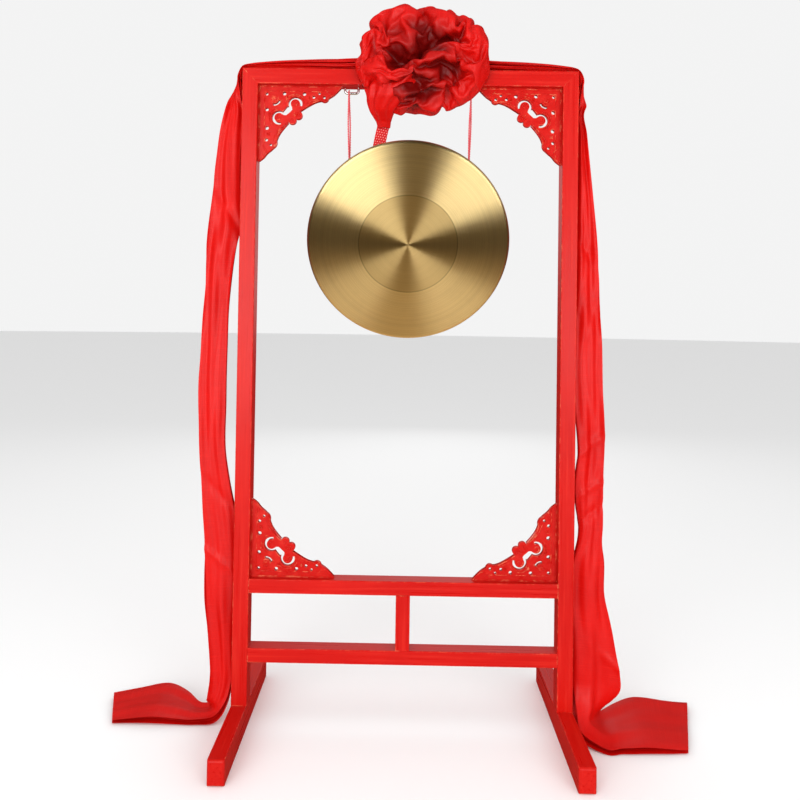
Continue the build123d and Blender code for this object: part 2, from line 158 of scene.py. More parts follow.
# ---------------------------------------------------------------- material helpers
class Shader:
    """A Principled material, with short ways to build its patterns from nodes."""

    def __init__(self, name, **sockets):
        self.material = bpy.data.materials.new(name)
        self.material.use_nodes = True
        self.tree = self.material.node_tree
        self.principled = self.tree.nodes["Principled BSDF"]
        for socket, value in sockets.items():
            self.principled.inputs[socket.replace("_", " ")].default_value = value

    def node(self, kind, inputs=(), **settings):
        made = self.tree.nodes.new("ShaderNode" + kind)
        for name, value in settings.items():
            setattr(made, name, value)
        for key, value in dict(inputs).items():
            if isinstance(value, bpy.types.NodeSocket):
                self.tree.links.new(value, made.inputs[key])
            else:
                made.inputs[key].default_value = value
        return made

    def place(self, scale=(1, 1, 1), uv=None, rotation=(0, 0, 0)):
        """Object coordinates, or a UV map's, stretched by scale."""
        if uv:
            where = self.node("UVMap", uv_map=uv).outputs["UV"]
        else:
            where = self.node("TexCoord").outputs["Object"]
        return self.node("Mapping", {"Vector": where, "Scale": scale, "Rotation": rotation}).outputs["Vector"]

    def noise(self, scale, detail=3, place=None, roughness=0.5):
        inputs = {"Scale": scale, "Detail": detail, "Roughness": roughness, "Vector": place or self.place()}
        return self.node("TexNoise", inputs).outputs["Fac"]

    def ramp(self, value, *stops):
        """Maps a value through (position, colour or grey) stops."""
        made = self.node("ValToRGB", {"Fac": value})
        steps = made.color_ramp.elements
        while len(steps) < len(stops):
            steps.new(0.5)
        for step, (position, colour) in zip(steps, stops):
            step.position = position
            step.color = (*colour, 1) if hasattr(colour, "__len__") else (colour, colour, colour, 1)
        return made.outputs["Color"]

    def span(self, value, low, high, to_low=0.0, to_high=1.0):
        inputs = {"Value": value, "From Min": low, "From Max": high, "To Min": to_low, "To Max": to_high}
        return self.node("MapRange", inputs).outputs["Result"]

    def math(self, operation, a, b=0.0, c=0.0):
        return self.node("Math", {0: a, 1: b, 2: c}, operation=operation).outputs["Value"]

    def mix(self, factor, a, b, blend="MIX"):
        inputs = {"Factor": factor, 6: a, 7: b}
        return self.node("Mix", inputs, data_type="RGBA", blend_type=blend).outputs[2]

    def bump(self, height, strength, distance, after=None):
        inputs = {"Height": height, "Strength": strength, "Distance": distance}
        if after is not None:
            inputs["Normal"] = after
        normal = self.node("Bump", inputs).outputs["Normal"]
        self.set("Normal", normal)
        return normal

    def set(self, socket, value):
        self.tree.links.new(value, self.principled.inputs[socket])


# ---------------------------------------------------------------- materials
def lacquer(name, stretch):
    """Brushed red lacquer on wood. stretch is small along the grain, and large across it."""
    paint = Shader(name, Specular_IOR_Level=0.18, Coat_Weight=0.05, Coat_Roughness=0.12)
    clouds = paint.noise(scale=6, detail=4)
    streaks = paint.noise(scale=1, detail=5, place=paint.place(stretch), roughness=0.6)
    body = paint.ramp(clouds, (0.3, (0.47, 0.0036, 0.0018)), (0.7, (0.55, 0.0062, 0.0030)))
    streaked = paint.mix(paint.span(streaks, 0.52, 0.72, 0, 0.55), body, (0.66, 0.022, 0.010, 1))
    dusk = paint.mix(paint.span(streaks, 0.46, 0.30, 0, 0.35), streaked, (0.38, 0.0025, 0.0015, 1))
    rounded = paint.node("Bevel", {"Radius": 0.0022}, samples=4)
    plain = paint.node("NewGeometry")
    facing = paint.node("VectorMath", {0: rounded.outputs["Normal"], 1: plain.outputs["Normal"]},
                        operation="DOT_PRODUCT").outputs["Value"]
    chips = paint.noise(scale=95, detail=4, roughness=0.7)
    edge = paint.span(facing, 0.985, 0.90)
    worn = paint.math("MULTIPLY", edge, paint.span(chips, 0.50, 0.62))
    paint.set("Base Color", paint.mix(worn, dusk, (0.83, 0.22, 0.11, 1)))
    paint.set("Roughness", paint.span(streaks, 0.25, 0.75, 0.22, 0.42))
    peel = paint.noise(scale=220, detail=2)
    first = paint.bump(streaks, 0.25, 0.0006)
    paint.bump(peel, 0.06, 0.0004, after=first)
    return paint.material


def brass():
    """Lathe-turned brass: fine rings about the middle, and highlights that fan out across them. Painted shade
    darkens the boss and the crease at its edge.
    """
    metal = Shader("turned_brass", Metallic=1.0, Anisotropic=1.0, Anisotropic_Rotation=0.25)
    polar = metal.node("UVMap", uv_map="lathe").outputs["UV"]
    radius = metal.node("SeparateXYZ", {"Vector": polar}).outputs["Y"]
    ring_place = metal.node("CombineXYZ", {"X": radius}).outputs["Vector"]
    fine = {"Vector": ring_place, "Scale": 900, "Detail": 4, "Roughness": 0.75}
    rings = metal.node("TexNoise", fine).outputs["Fac"]
    bands = metal.node("TexNoise", {"Vector": ring_place, "Scale": 120, "Detail": 2}).outputs["Fac"]
    tarnish = metal.noise(scale=14, detail=5, roughness=0.6)
    base = metal.ramp(rings, (0.30, (0.76, 0.54, 0.22)), (0.52, (0.93, 0.72, 0.34)),
                      (0.72, (1.0, 0.82, 0.44)))
    banded = metal.mix(metal.span(bands, 0.35, 0.7, 0, 0.22), base, (0.52, 0.37, 0.17, 1))
    # Painted shade: the boss inside BOSS_R is darkened, standing in for the dimmer light that its flatter
    # slope catches.
    boss_painted_shade = metal.span(radius, BOSS_R + 0.3 * MM, BOSS_R - 0.3 * MM, 0, 0.42)
    boss = metal.mix(boss_painted_shade, banded, (0.50, 0.33, 0.11, 1))
    # Painted shade: a dark line along the crease at the boss's edge.
    from_edge = metal.math("ABSOLUTE", metal.math("SUBTRACT", radius, BOSS_R))
    crease_shaded = metal.mix(metal.span(from_edge, 1.6 * MM, 0.5 * MM, 0, 0.45), boss, (0.20, 0.12, 0.04, 1))
    metal.set("Base Color", metal.mix(metal.span(tarnish, 0.5, 0.75, 0, 0.18), crease_shaded, (0.46, 0.30, 0.13, 1)))
    metal.set("Roughness", metal.span(rings, 0.3, 0.7, 0.33, 0.28))
    metal.set("Tangent", metal.node("Tangent", direction_type="UV_MAP", uv_map="lathe").outputs["Tangent"])
    metal.bump(rings, 0.12, 0.0002)
    return metal.material


def wire():
    chrome = Shader("chrome_wire", Metallic=1.0, Base_Color=(0.82, 0.82, 0.84, 1))
    chrome.set("Roughness", chrome.span(chrome.noise(scale=300, detail=3), 0.3, 0.7, 0.10, 0.26))
    chrome.bump(chrome.noise(scale=500, detail=2), 0.05, 0.0002)
    return chrome.material


def screw_steel():
    steel = Shader("screw_steel", Metallic=1.0)
    marks = steel.noise(scale=240, detail=3)
    steel.set("Base Color", steel.ramp(marks, (0.3, (0.35, 0.35, 0.36)), (0.7, (0.55, 0.55, 0.56))))
    steel.set("Roughness", steel.span(marks, 0.3, 0.7, 0.25, 0.45))
    return steel.material


def beech():
    wood = Shader("beech", Roughness=0.6)
    grain = wood.noise(scale=1, detail=5, place=wood.place((900, 900, 60)))
    wood.set("Base Color", wood.ramp(grain, (0.3, (0.52, 0.33, 0.18)), (0.7, (0.68, 0.48, 0.29))))
    wood.bump(grain, 0.2, 0.0003)
    return wood.material


def silk(name):
    """Thin satin: a bright soft sheen over deep red, a fine weave and faint slubs along it, and painted shade
    where it is tucked in.
    """
    cloth = Shader(name, Roughness=0.40, Specular_IOR_Level=0.22, Sheen_Weight=0.04, Sheen_Roughness=0.35)
    cloth.principled.inputs["Sheen Tint"].default_value = (1.0, 0.12, 0.06, 1)
    slubs = cloth.noise(scale=1, detail=4, place=cloth.place((30, 900, 1), uv="weave"))
    clouds = cloth.noise(scale=9, detail=3)
    body = cloth.ramp(clouds, (0.3, (0.52, 0.0020, 0.0010)), (0.7, (0.62, 0.0030, 0.0014)))
    slubbed = cloth.mix(cloth.span(slubs, 0.5, 0.75, 0, 0.35), body, (0.80, 0.018, 0.010, 1))
    # Painted shade: the silk is darkened where it is tucked deep into the rosette, where shade falls.
    tucked = cloth.node("Attribute", attribute_name="tucked").outputs["Fac"]
    cloth.set("Base Color", cloth.mix(cloth.math("MULTIPLY", tucked, 0.80), slubbed, (0.045, 0.0, 0.0, 1)))
    threads = {"Vector": cloth.place((1, 1, 1), uv="weave"), "Scale": 420, "Distortion": 0.4}
    warp = cloth.node("TexWave", threads, bands_direction="X").outputs["Fac"]
    weft = cloth.node("TexWave", threads, bands_direction="Y").outputs["Fac"]
    first = cloth.bump(cloth.math("ADD", warp, weft), 0.10, 0.0001)
    crumple = cloth.noise(scale=55, detail=4, roughness=0.55)
    cloth.bump(crumple, 0.16, 0.002, after=first)
    return cloth.material


# ---------------------------------------------------------------- mesh helpers
def add_object(name, mesh, material, smooth=True):
    if smooth:
        mesh.polygons.foreach_set("use_smooth", [True] * len(mesh.polygons))
    mesh.materials.append(material)
    piece = bpy.data.objects.new(name, mesh)
    scene.collection.objects.link(piece)
    return piece


def grid_mesh(name, points, closed_across=False, uv_name="weave", uv_size=(1.0, 1.0)):
    """A mesh through a grid of points: rows run along the piece and columns across it."""
    points = np.asarray(points, float)
    rows, columns = points.shape[:2]
    across = columns if closed_across else columns - 1
    faces = []
    for row in range(rows - 1):
        for column in range(across):
            after = (column + 1) % columns
            faces.append((row * columns + column, row * columns + after,
                          (row + 1) * columns + after, (row + 1) * columns + column))
    mesh = bpy.data.meshes.new(name)
    mesh.from_pydata(points.reshape(-1, 3).tolist(), [], faces)
    layer = mesh.uv_layers.new(name=uv_name)
    flat = []
    for row in range(rows - 1):
        for column in range(across):
            for down, right in ((0, 0), (0, 1), (1, 1), (1, 0)):
                flat += [uv_size[0] * (column + right) / across, uv_size[1] * (row + down) / (rows - 1)]
    layer.data.foreach_set("uv", flat)
    return mesh


def applied(piece):
    """Turns the piece's modifiers into plain geometry."""
    seen = piece.evaluated_get(bpy.context.evaluated_depsgraph_get())
    mesh = bpy.data.meshes.new_from_object(seen)
    piece.modifiers.clear()
    piece.data = mesh
    return piece


def nurbs_curve(name, points):
    """An open NURBS curve of order 3 that starts and ends on its first and last points."""
    curve = bpy.data.curves.new(name, "CURVE")
    curve.dimensions = "3D"
    spline = curve.splines.new("NURBS")
    spline.points.add(len(points) - 1)
    for point, place in zip(spline.points, points):
        point.co = (*place, 1)
    spline.order_u = 3
    spline.use_endpoint_u = True
    spline.resolution_u = 12
    return curve


def route_of(points):
    """The smooth line that a NURBS curve draws through its route."""
    curve = nurbs_curve("route", points)
    holder = bpy.data.objects.new("route", curve)
    scene.collection.objects.link(holder)
    bpy.context.view_layer.update()
    line = bpy.data.meshes.new_from_object(holder.evaluated_get(bpy.context.evaluated_depsgraph_get()))
    path = np.array([vertex.co for vertex in line.vertices], float)
    bpy.data.objects.remove(holder)
    bpy.data.meshes.remove(line)
    return path


def resampled(path, step):
    """The same line with points an even step apart."""
    path = np.asarray(path, float)
    reached = np.concatenate(([0.0], np.cumsum(np.linalg.norm(np.diff(path, axis=0), axis=1))))
    count = max(2, int(round(reached[-1] / step)) + 1)
    wanted = np.linspace(0, reached[-1], count)
    return np.stack([np.interp(wanted, reached, path[:, axis]) for axis in range(3)], 1)


def frames_along(path):
    """Tangents and two steady normals at each point of a line."""
    tangents = np.gradient(path, axis=0)
    tangents /= np.linalg.norm(tangents, axis=1)[:, None]
    side = np.cross(tangents[0], (0, 1, 0) if abs(tangents[0][1]) < 0.9 else (1, 0, 0))
    sides = []
    for tangent in tangents:
        side = side - tangent * (side @ tangent)
        side = side / np.linalg.norm(side)
        sides.append(side)
    sides = np.array(sides)
    return tangents, sides, np.cross(tangents, sides)


def twisted_tube(path, radius, plies, ply_radius, pitch, sections=8):
    """Plies wound around a line, as one list of rings of points for each ply."""
    steps = resampled(path, pitch / 14)
    tangents, sides, others = frames_along(steps)
    reached = np.concatenate(([0.0], np.cumsum(np.linalg.norm(np.diff(steps, axis=0), axis=1))))
    tubes = []
    for ply in range(plies):
        turn = 2 * pi * (reached / pitch + ply / plies)
        core = steps + radius * (np.cos(turn)[:, None] * sides + np.sin(turn)[:, None] * others)
        _, ply_sides, ply_others = frames_along(core)
        around = 2 * pi * np.arange(sections) / sections
        ring = np.cos(around)[None, :, None] * ply_sides[:, None]
        ring = ring + np.sin(around)[None, :, None] * ply_others[:, None]
        tubes.append(core[:, None] + ply_radius * ring)
    return tubes


def joined(name, meshes):
    """Several meshes as one."""
    vertices, faces, uvs = [], [], []
    for mesh in meshes:
        start = len(vertices)
        vertices += [tuple(vertex.co) for vertex in mesh.vertices]
        faces += [tuple(start + index for index in face.vertices) for face in mesh.polygons]
        layer = mesh.uv_layers[0]
        uvs += [tuple(corner.uv) for corner in layer.data]
        uv_name = layer.name
        bpy.data.meshes.remove(mesh)
    whole = bpy.data.meshes.new(name)
    whole.from_pydata(vertices, [], faces)
    layer = whole.uv_layers.new(name=uv_name)
    layer.data.foreach_set("uv", [value for uv in uvs for value in uv])
    return whole


# ---------------------------------------------------------------- cords and knots
CORD_D = 3.0 * MM
CORD_PITCH = 9.0 * MM
CORD_LENGTH = 0.2865


def cord_route(side):
    """Up from the knot through the rim hole, round the hook's arm and back down to the knot."""
    return [
        (side * 0.1070, -0.00165, 0.9931),
        (side * 0.1085 - 0.0022, -0.00165, 1.0645),
        (side * 0.1097 - 0.0006, -0.00290, 1.1130),
        (side * 0.1100, -0.00390, 1.1349),
        (side * 0.1100, 0.00390, 1.1349),
        (side * 0.1097 + 0.0006, 0.00290, 1.1130),
        (side * 0.1085 + 0.0022, 0.00165, 1.0645),
        (side * 0.1070, 0.00165, 0.9931),
    ]


def cord_silk():
    """Red rayon cord, paler where its plies catch the light."""
    yarn = Shader("red_cord", Roughness=0.55, Sheen_Weight=0.4, Sheen_Roughness=0.4)
    yarn.principled.inputs["Sheen Tint"].default_value = (1.0, 0.6, 0.6, 1)
    fibres = yarn.noise(scale=1, detail=4, place=yarn.place((6, 900, 1), uv="weave"))
    yarn.set("Base Color", yarn.ramp(fibres, (0.3, (0.62, 0.035, 0.06)), (0.7, (0.85, 0.16, 0.17))))
    yarn.bump(fibres, 0.3, 0.0003)
    return yarn.material


def cords():
    yarn = cord_silk()
    for side, hand in SIDES:
        route = cord_route(side)
        path = route_of(route)
        plies = twisted_tube(path, 0.24 * CORD_D, 2, 0.27 * CORD_D, CORD_PITCH)
        meshes = [grid_mesh("ply", tube, closed_across=True, uv_size=(0.01, CORD_LENGTH)) for tube in plies]
        piece = add_object(hand + "_cord_yarn", joined(hand + "_cord_yarn", meshes), yarn)
        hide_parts(hand + "_cord")
        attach(piece, "hangers")
        knot(side, hand, yarn)


def knot(side, hand, yarn):
    """A stopper knot: the cord wound into a figure of two crossing turns."""
    low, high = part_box(hand + "_knot")
    centre = (low + high) / 2
    half = (high - low) / 2
    turns, count = 3, 150
    line = []
    for step in range(count):
        t = 2 * pi * step / (count - 1)
        swell = 0.62 + 0.22 * cos(turns * t)
        line.append((centre.x + half.x * swell * cos(2 * t), centre.y + half.y * swell * sin(2 * t),
                     centre.z + 0.62 * half.z * sin(turns * t)))
    plies = twisted_tube(line, 0.2 * CORD_D, 2, 0.27 * CORD_D, CORD_PITCH)
    meshes = [grid_mesh("ply", tube, closed_across=True, uv_size=(0.01, 0.06)) for tube in plies]
    piece = add_object(hand + "_knot_yarn", joined(hand + "_knot_yarn", meshes), yarn)
    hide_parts(hand + "_knot")
    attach(piece, "hangers")


# ---------------------------------------------------------------- gong
GONG_R = 180 * MM
GONG_DEPTH = 60 * MM
GONG_DOME = 9 * MM
BOSS_R = 88 * MM
BOSS_EDGE_DROP = 1 * MM
GONG_EDGE = 6.5 * MM
RIM_TAPER = radians(12.0)
FACE_T = 1.8 * MM
RIM_HOLE_R = 4.75 * MM
RIM_HOLE_SETBACK = 6 * MM
GONG_TILT = radians(19.3)
HANG_Z = 0.999
CORD_HOLE_X = 107 * MM


def gong_profile(wall):
    """The outer surface's section from the middle of the face to the back edge, moved in by wall."""
    radius = GONG_R - wall
    boss_z = GONG_DOME - BOSS_EDGE_DROP - wall
    boss = [(BOSS_R * k / 30, GONG_DOME - wall - BOSS_EDGE_DROP * (k / 30) ** 2) for k in range(31)]
    slope = atan2(boss_z + wall, radius - BOSS_R)
    edge = GONG_EDGE - wall
    turn = pi / 2 - RIM_TAPER - slope
    reach = edge * tan(turn / 2)
    start = np.array((radius - reach * cos(slope), -wall + reach * sin(slope)))
    into = np.array((-sin(slope), -cos(slope)))
    centre = start + edge * into
    outer = [tuple(np.array((BOSS_R, boss_z)) * (1 - k / 40) + start * (k / 40)) for k in range(1, 41)]
    arc = []
    for k in range(1, 17):
        angle = slope + turn * k / 16
        arc.append((centre[0] + edge * sin(angle), centre[1] + edge * cos(angle)))
    bottom = (radius - (GONG_DEPTH - wall) * tan(RIM_TAPER), -GONG_DEPTH)
    rim = [tuple(np.array(arc[-1]) * (1 - k / 16) + np.array(bottom) * (k / 16)) for k in range(1, 17)]
    return boss + outer + arc + rim


def crease(mesh, radius):
    """Marks the edges of the ring of that radius sharp."""
    on_ring = [abs(vertex.co.to_2d().length - radius) < 1e-5 for vertex in mesh.vertices]
    for edge in mesh.edges:
        if all(on_ring[index] for index in edge.vertices):
            edge.use_edge_sharp = True


def gong():
    """The gong's shell, turned at a high resolution, with the two rim holes that the cords pass."""
    segments = 288
    outer = gong_profile(0)
    inner = gong_profile(FACE_T)
    lip = [(0.5 * (outer[-1][0] + inner[-1][0]), outer[-1][1] - 0.35 * FACE_T)]
    section = outer + lip + inner[::-1]
    rows = []
    for radius, height in section:
        around = [2 * pi * k / segments for k in range(segments)]
        rows.append([(max(radius, 1e-5) * cos(a), max(radius, 1e-5) * sin(a), height) for a in around])
    mesh = grid_mesh("gong_shell", rows, closed_across=True, uv_name="lathe")
    layer = mesh.uv_layers["lathe"]
    loops = len(mesh.loops)
    flat = np.zeros(loops * 2)
    layer.data.foreach_get("uv", flat)
    lengths = np.concatenate(([0.0], np.cumsum(np.linalg.norm(np.diff(np.array(section), axis=0), axis=1))))
    flat[1::2] = np.interp(flat[1::2] * (len(section) - 1), range(len(section)), lengths)
    layer.data.foreach_set("uv", flat)
    shell = add_object("gong_shell", mesh, brass())
    tilt_out = Vector((0, -cos(GONG_TILT), -sin(GONG_TILT)))
    tilt_up = Vector((0, -sin(GONG_TILT), cos(GONG_TILT)))
    setback = GONG_DEPTH - RIM_HOLE_SETBACK
    hole_r = GONG_R - FACE_T / 2 - setback * tan(RIM_TAPER)
    centre = Vector((0, 0, HANG_Z)) - tilt_up * sqrt(hole_r ** 2 - CORD_HOLE_X ** 2) + tilt_out * setback
    turn = Matrix((Vector((1, 0, 0)), tilt_up, tilt_out)).transposed().to_4x4()
    place = Matrix.Translation(centre) @ turn
    cutters = []
    for side, _ in SIDES:
        around = asin(side * CORD_HOLE_X / hole_r)
        out = Vector((sin(around), cos(around), 0))
        bpy.ops.mesh.primitive_cylinder_add(vertices=40, radius=RIM_HOLE_R, depth=8 * FACE_T,
                                            location=out * hole_r - Vector((0, 0, setback)),
                                            rotation=out.to_track_quat("Z", "Y").to_euler())
        cutters.append(bpy.context.object)
        cut = shell.modifiers.new("rim_hole", "BOOLEAN")
        cut.operation = "DIFFERENCE"
        cut.object = cutters[-1]
    bpy.context.view_layer.update()
    applied(shell)
    for cutter in cutters:
        bpy.data.objects.remove(cutter)
    shell.data.set_sharp_from_angle(angle=radians(38))
    crease(shell.data, BOSS_R)
    shell.matrix_world = place
    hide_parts("gong")
    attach(shell, "gong")


# ---------------------------------------------------------------- sash
FRAME_TOP = 1170 * MM
SASH_LAYERS = 5
SASH_ROW = 4.5 * MM
SASH_COLUMNS = 150
SASH_FLAT = {"left": (0.36, 1.60), "right": (0.36, 1.62)}

# Each fall is (height, inner edge, outer edge), with the edges measured outwards from the stand's middle
FALL = {
    "left": ((1105, 303, 332), (1060, 304, 344), (1010, 306, 351), (940, 305, 357), (890, 303, 362),
             (850, 310, 366), (760, 320, 369), (665, 323, 373), (570, 324, 374), (485, 323, 369),
             (425, 313, 365), (390, 306, 363), (325, 303, 358), (260, 303, 358), (215, 303, 356),
             (180, 303, 351), (148, 303, 346), (110, 303, 343), (70, 304, 344)),
    "right": ((1105, 303, 313), (1060, 303, 318), (1010, 303, 324), (940, 303, 333), (850, 304, 341),
              (760, 303, 348), (670, 303, 354), (560, 305, 357), (490, 309, 358), (440, 304, 357),
              (395, 307, 357), (360, 313, 357), (335, 312, 356), (300, 304, 361), (232, 303, 362),
              (195, 304, 369), (150, 304, 378), (105, 304, 386), (78, 304, 388)),
}
# Each tail is (front edge x, y), (back edge x, y), height above the floor
TAIL = {
    "left": (((316, 2), (350, 20), 30), ((330, -5), (352, 42), 13), ((365, -8), (368, 50), 9),
             ((400, -8), (402, 86), 10), ((440, -9), (446, 112), 12), ((478, -9), (496, 104), 9),
             ((500, -9), (528, 94), 7), ((512, -9), (546, 88), 6)),
    "right": (((306, -14), (374, 22), 46), ((310, -48), (358, 30), 18), ((338, -70), (362, 46), 9),
              ((372, -72), (396, 74), 9), ((410, -71), (440, 98), 10), ((448, -70), (492, 102), 8),
              ((472, -68), (526, 101), 6), ((483, -67), (545, 100), 6)),
}
# Turned-over or pulled creases on a fall: (height, share of the width, length, width, depth, slant)
CREASES = {
    "left": ((1010, 0.55, 110, 9, 4.5, 0.10), (905, 0.25, 60, 8, -5.0, 0.55),
             (800, 0.70, 120, 12, 3.0, -0.08),
             (400, 0.30, 40, 9, -3.5, 0.8), (300, 0.75, 45, 7, 5.0, 1.3), (200, 0.45, 90, 10, 3.5, 0.1)),
    "right": ((960, 0.45, 100, 9, 4.0, -0.15), (860, 0.35, 50, 9, -4.0, -0.6), (505, 0.50, 30, 8, 3.5, 1.2),
              (430, 0.60, 34, 7, 4.5, 1.5), (385, 0.55, 34, 9, -5.0, 1.4), (280, 0.40, 80, 10, 3.5, -0.1),
              (160, 0.45, 90, 12, 4.0, 0.1), (120, 0.85, 30, 7, 4.0, -1.0)),
}


def sash_keys(side, hand):
    """The two edges, the backward direction, the half thickness and the ripple at stations along the silk."""
    def at(x, y, z):
        return (side * x, y, z)

    keys = []
    start = SASH_START[hand]
    for x, thick in ((start, 11), (0.5 * (start + 270), 9), (262, 6), (284, 4.5)):
        z = 1170.6 + thick
        keys.append((at(x, -14, z), at(x, 14, z), at(0, 0, -1), thick, 2.6, 3.5))
    keys.append((at(299, -14, 1172), at(299, 14, 1172), at(-0.7, 0, -0.7), 3.5, 1.5, 3.0))
    keys.append((at(306, -13, 1158), at(307, 15, 1158), at(-1, 0, -0.1), 4.0, 1.5, 2.5))
    keys.append((at(305, -9, 1138), at(317 if side < 0 else 310, 20, 1138), at(-0.8, 0.6, 0), 5.0, 2.0, 2.0))
    for z, inner, outer in FALL[hand]:
        keys.append((at(inner, 10, z), at(outer, 12, z), at(0, 1, 0), 8.5, 3.6, 1.35))
    for (front_x, front_y), (back_x, back_y), z in TAIL[hand]:
        lie = min(1.0, 12.0 / z)
        keys.append((at(front_x, front_y, z), at(back_x, back_y, z), at(0, 1 - lie, -lie),
                     min(7.5, 0.62 * z), 1.6 if z < 14 else 3.0, 1.6))
    return keys


def smooth_rows(keys, step):
    """The stations joined by smooth curves, and read an even step apart."""
    flat = np.array([[*front, *back, *behind, thick, ripple, waves]
                     for front, back, behind, thick, ripple, waves in keys], float)
    flat[:, 0:6] *= MM
    flat[:, 9:11] *= MM
    middle = 0.5 * (flat[:, 0:3] + flat[:, 3:6])
    reached = np.concatenate(([0.0], np.cumsum(np.linalg.norm(np.diff(middle, axis=0), axis=1))))
    slopes = np.gradient(flat, reached, axis=0)
    wanted = np.linspace(0, reached[-1], int(reached[-1] / step) + 1)
    index = np.clip(np.searchsorted(reached, wanted, side="right") - 1, 0, len(keys) - 2)
    span = (reached[index + 1] - reached[index])[:, None]
    t = (wanted - reached[index])[:, None] / span
    rows = ((2 * t ** 3 - 3 * t ** 2 + 1) * flat[index] + (t ** 3 - 2 * t ** 2 + t) * span * slopes[index]
            + (3 * t ** 2 - 2 * t ** 3) * flat[index + 1] + (t ** 3 - t ** 2) * span * slopes[index + 1])
    return wanted, rows


def drift(value, seed):
    """A slow, repeatable wander between about -1 and 1."""
    return noise.noise(Vector((value, 7.3 * seed, 1.7 * seed))) * 1.8


def sash(side, hand, cloth):
    """Gathered silk: a folded length along the rail, down beside the post and out over the floor."""
    reached, rows = smooth_rows(sash_keys(side, hand), SASH_ROW)
    across = np.linspace(0, 1, SASH_COLUMNS)
    fold = SASH_LAYERS * across
    points = np.zeros((len(rows), SASH_COLUMNS, 3))
    seed = 3 if side < 0 else 8
    for number, (along, row) in enumerate(zip(reached, rows)):
        front, back, behind = row[0:3], row[3:6], row[6:9]
        thick, ripple, waves = row[9:12]
        middle, half = 0.5 * (front + back), 0.5 * (back - front)
        width = np.linalg.norm(half)
        level = half / width
        behind = behind - level * (behind @ level)
        behind /= np.linalg.norm(behind)
        reach = 1 - 0.10 * (1 + drift(along * 9, seed)) * np.exp(-(fold / 0.5) ** 2)
        reach = reach - 0.07 * (1 + np.sin(2.1 * fold + 5 * along)) * (fold > 1)
        sideways = np.cos(pi * fold + 0.12 * drift(along * 6, seed + 1) * np.sin(pi * fold)) * reach
        depth = thick * (2 * across - 1)
        phase = 1.6 * drift(along * 5, seed + 2)
        swell = ripple * (0.75 + 0.5 * drift(along * 7, seed + 3))
        depth = depth + swell * np.sin(pi * waves * sideways + phase)
        depth = depth + 0.35 * ripple * np.sin(pi * 2.3 * waves * sideways - 1.4 * phase + 11 * along)
        height = middle[2] / MM
        if FALL[hand][0][0] > height > 60:
            for at_z, share, length, breadth, rise, slant in CREASES[hand]:
                place = 2 * share - 1
                drop = height - at_z
                line = sideways * width / MM - (place * width / MM + slant * drop)
                depth = depth - rise * MM * np.exp(-(line / breadth) ** 2 - (drop / length) ** 2)
        points[number] = middle + sideways[:, None] * half + depth[:, None] * behind
    points[:, :, 2] = np.maximum(points[:, :, 2], 0.6 * MM)
    high = points[:, :, 2] > FRAME_TOP - 25 * MM
    rail_side = (np.abs(points[:, :, 0]) < 0.3005) & high
    points[:, :, 2] = np.where(rail_side, np.maximum(points[:, :, 2], FRAME_TOP + 0.6 * MM), points[:, :, 2])
    beside = points[:, :, 2] < FRAME_TOP + 0.5 * MM
    least = 0.3012
    points[:, :, 0] = np.where(beside & (np.abs(points[:, :, 0]) < least), side * least, points[:, :, 0])
    mesh = grid_mesh("sash_silk_" + hand, points, uv_size=SASH_FLAT[hand])
    piece = add_object("sash_silk_" + hand, mesh, cloth)
    smoother = piece.modifiers.new("soften", "SMOOTH")
    smoother.factor, smoother.iterations = 0.5, 3
    applied(piece)
    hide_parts("sash_" + hand)
    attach(piece, "stand")


# ---------------------------------------------------------------- rosette
SASH_START = {"left": 70, "right": 112}
ROSETTE_AT = np.array((22, -20, 1190)) * MM
ROSETTE_SIZE = np.array((122, 75, 100)) * MM
PUFF_AT = np.array((4, -24, 1142)) * MM
PUFF_SIZE = np.array((86, 62, 62)) * MM
RAIL_MIDDLE = np.array((22, 0, 1160)) * MM
ROSETTE_FILL = 0.97
MOUTH_SIZE = (22 * MM, 25 * MM)
MOUTH_LATITUDE = radians(74)
ROSETTE_GRID = (126, 70)
ROSETTE_FLAT = (0.62, 0.32)
SLACK = 1.42
PRESSURE = 3.0
# Painted shade in the rosette's tucks: none at the first share of its outline, full at the second.
TUCK_SHADE_FROM, TUCK_SHADE_TO = 0.90, 0.55

# Where the silk is drawn in: (x from the stand's middle, angle about the rail, share of its reach that is
# left). An angle of 0 is the front and 90 the top. A ring of tacks is (x, number of tacks).
FRONT_TACKS = ((-19, 3, 0.16), (34, 14, 0.22), (11, -33, 0.40), (23, -62, 0.5), (-41, -70, 0.55),
               (58, -30, 0.5), (67, -72, 0.55), (-72, 2, 0.62), (78, 20, 0.55), (10, 46, 0.62),
               (-44, 42, 0.62),
               (102, -12, 0.65), (-36, -38, 0.62), (92, -52, 0.62), (-70, -50, 0.62))
RING_TACKS = ((-72, 3), (-34, 5), (14, 5), (58, 5), (100, 3))


def tacks():
    """The front tacks, and rings of others over the top, the back and below."""
    places = list(FRONT_TACKS)
    for ring, (x, count) in enumerate(RING_TACKS):
        for k in range(count):
            angle = 78 + 195 * (k + 0.35 * (ring % 2)) / (count - 1 + 0.35) + 8 * drift(ring + 0.37 * k, 5)
            places.append((x + 9 * drift(0.7 * ring + k, 6), angle, 0.74))
    return places


